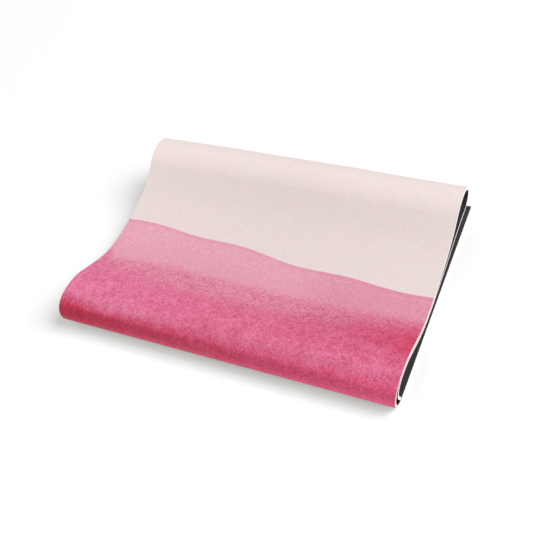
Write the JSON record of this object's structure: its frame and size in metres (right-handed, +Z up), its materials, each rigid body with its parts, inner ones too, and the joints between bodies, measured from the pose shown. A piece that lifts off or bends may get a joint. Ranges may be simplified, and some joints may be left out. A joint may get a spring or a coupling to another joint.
{
  "type": "folding exercise mat",
  "caption": "Thin printed exercise mat folded in three, with a soft printed top, a white foam core and a dark grippy underside.",
  "frame": {"origin": "centre of the base of the folded mat, on the floor", "axes": "+X along the folds, +Y from the front fold to the back fold, +Z up"},
  "size_m": [0.61, 0.4869, 0.1072],
  "materials": {
    "cover": "matte",
    "core": "matte",
    "backing": "matte"
  },
  "bodies": {
    "mat_middle": {"top_panel_cover": "cover", "top_panel_core": "core", "top_panel_backing": "backing", "back_fold_cover": "cover", "back_fold_core": "core", "back_fold_backing": "backing", "inner_panel_cover": "cover", "inner_panel_core": "core", "inner_panel_backing": "backing"},
    "top_panel_front": {"top_panel_front_cover": "cover", "top_panel_front_core": "core", "top_panel_front_backing": "backing"},
    "front_fold_1": {"front_fold_1_cover": "cover", "front_fold_1_core": "core", "front_fold_1_backing": "backing"},
    "front_fold_2": {"front_fold_2_cover": "cover", "front_fold_2_core": "core", "front_fold_2_backing": "backing"},
    "front_fold_3": {"front_fold_3_cover": "cover", "front_fold_3_core": "core", "front_fold_3_backing": "backing"},
    "front_fold_4": {"front_fold_4_cover": "cover", "front_fold_4_core": "core", "front_fold_4_backing": "backing"},
    "front_fold_5": {"front_fold_5_cover": "cover", "front_fold_5_core": "core", "front_fold_5_backing": "backing"},
    "front_fold_6": {"front_fold_6_cover": "cover", "front_fold_6_core": "core", "front_fold_6_backing": "backing"},
    "front_fold_7": {"front_fold_7_cover": "cover", "front_fold_7_core": "core", "front_fold_7_backing": "backing"},
    "bottom_panel": {"bottom_panel_cover": "cover", "bottom_panel_core": "core", "bottom_panel_backing": "backing"},
    "inner_panel_front": {"inner_panel_front_cover": "cover", "inner_panel_front_core": "core", "inner_panel_front_backing": "backing"},
    "tucked_end_1": {"tucked_end_1_cover": "cover", "tucked_end_1_core": "core", "tucked_end_1_backing": "backing"},
    "tucked_end_2": {"tucked_end_2_cover": "cover", "tucked_end_2_core": "core", "tucked_end_2_backing": "backing"},
    "tucked_end_3": {"tucked_end_3_cover": "cover", "tucked_end_3_core": "core", "tucked_end_3_backing": "backing"},
    "tucked_end_4": {"tucked_end_4_cover": "cover", "tucked_end_4_core": "core", "tucked_end_4_backing": "backing"},
    "tucked_end_5": {"tucked_end_5_cover": "cover", "tucked_end_5_core": "core", "tucked_end_5_backing": "backing"},
    "tucked_end_6": {"tucked_end_6_cover": "cover", "tucked_end_6_core": "core", "tucked_end_6_backing": "backing"}
  },
  "joints": [
    {"name": "top_panel_front_bend", "type": "hinge", "parent": "mat_middle", "child": "top_panel_front", "pos_m": [0, -0.084, 0.03145], "axis": [1, 0, 0], "range_deg": [0, 20]},
    {"name": "front_fold_1_bend", "type": "hinge", "parent": "top_panel_front", "child": "front_fold_1", "pos_m": [0, -0.17468, 0.06445], "axis": [-1, 0, 0], "range_deg": [0, 20]},
    {"name": "front_fold_2_bend", "type": "hinge", "parent": "front_fold_1", "child": "front_fold_2", "pos_m": [0, -0.21268, 0.06445], "axis": [-1, 0, 0], "range_deg": [0, 26]},
    {"name": "front_fold_3_bend", "type": "hinge", "parent": "front_fold_2", "child": "front_fold_3", "pos_m": [0, -0.23111, 0.05546], "axis": [-1, 0, 0], "range_deg": [0, 26]},
    {"name": "front_fold_4_bend", "type": "hinge", "parent": "front_fold_3", "child": "front_fold_4", "pos_m": [0, -0.23849, 0.04601], "axis": [-1, 0, 0], "range_deg": [0, 26]},
    {"name": "front_fold_5_bend", "type": "hinge", "parent": "front_fold_4", "child": "front_fold_5", "pos_m": [0, -0.24078, 0.03525], "axis": [-1, 0, 0], "range_deg": [0, 26]},
    {"name": "front_fold_6_bend", "type": "hinge", "parent": "front_fold_5", "child": "front_fold_6", "pos_m": [0, -0.23715, 0.02069], "axis": [-1, 0, 0], "range_deg": [0, 26]},
    {"name": "front_fold_7_bend", "type": "hinge", "parent": "front_fold_6", "child": "front_fold_7", "pos_m": [0, -0.22706, 0.00867], "axis": [-1, 0, 0], "range_deg": [0, 25]},
    {"name": "front_fold_open", "type": "hinge", "parent": "front_fold_7", "child": "bottom_panel", "pos_m": [0, -0.21437, 0.00275], "axis": [-1, 0, 0], "range_deg": [0, 25]},
    {"name": "inner_panel_front_bend", "type": "hinge", "parent": "mat_middle", "child": "inner_panel_front", "pos_m": [0, -0.08504, 0.02562], "axis": [1, 0, 0], "range_deg": [0, 21.5]},
    {"name": "tucked_end_1_bend", "type": "hinge", "parent": "inner_panel_front", "child": "tucked_end_1", "pos_m": [0, -0.17572, 0.05863], "axis": [-1, 0, 0], "range_deg": [0, 20]},
    {"name": "tucked_end_2_bend", "type": "hinge", "parent": "tucked_end_1", "child": "tucked_end_2", "pos_m": [0, -0.20672, 0.05863], "axis": [-1, 0, 0], "range_deg": [0, 27]},
    {"name": "tucked_end_3_bend", "type": "hinge", "parent": "tucked_end_2", "child": "tucked_end_3", "pos_m": [0, -0.22009, 0.05182], "axis": [-1, 0, 0], "range_deg": [0, 28]},
    {"name": "tucked_end_4_bend", "type": "hinge", "parent": "tucked_end_3", "child": "tucked_end_4", "pos_m": [0, -0.22582, 0.04363], "axis": [-1, 0, 0], "range_deg": [0, 27]},
    {"name": "tucked_end_5_bend", "type": "hinge", "parent": "tucked_end_4", "child": "tucked_end_5", "pos_m": [0, -0.22694, 0.03571], "axis": [-1, 0, 0], "range_deg": [0, 22]},
    {"name": "tucked_end_6_bend", "type": "hinge", "parent": "tucked_end_5", "child": "tucked_end_6", "pos_m": [0, -0.22476, 0.02697], "axis": [-1, 0, 0], "range_deg": [0, 19]}
  ],
  "couplings": [
    {"joint": "top_panel_front_bend", "follows": "front_fold_open", "ratio": 0.8},
    {"joint": "front_fold_1_bend", "follows": "front_fold_open", "ratio": 0.8},
    {"joint": "front_fold_2_bend", "follows": "front_fold_open", "ratio": 1.04},
    {"joint": "front_fold_3_bend", "follows": "front_fold_open", "ratio": 1.04},
    {"joint": "front_fold_4_bend", "follows": "front_fold_open", "ratio": 1.04},
    {"joint": "front_fold_5_bend", "follows": "front_fold_open", "ratio": 1.04},
    {"joint": "front_fold_6_bend", "follows": "front_fold_open", "ratio": 1.04},
    {"joint": "front_fold_7_bend", "follows": "front_fold_open", "ratio": 1},
    {"joint": "inner_panel_front_bend", "follows": "front_fold_open", "ratio": 0.86},
    {"joint": "tucked_end_1_bend", "follows": "front_fold_open", "ratio": 0.8},
    {"joint": "tucked_end_2_bend", "follows": "front_fold_open", "ratio": 1.08},
    {"joint": "tucked_end_3_bend", "follows": "front_fold_open", "ratio": 1.12},
    {"joint": "tucked_end_4_bend", "follows": "front_fold_open", "ratio": 1.08},
    {"joint": "tucked_end_5_bend", "follows": "front_fold_open", "ratio": 0.88},
    {"joint": "tucked_end_6_bend", "follows": "front_fold_open", "ratio": 0.76}
  ]
}
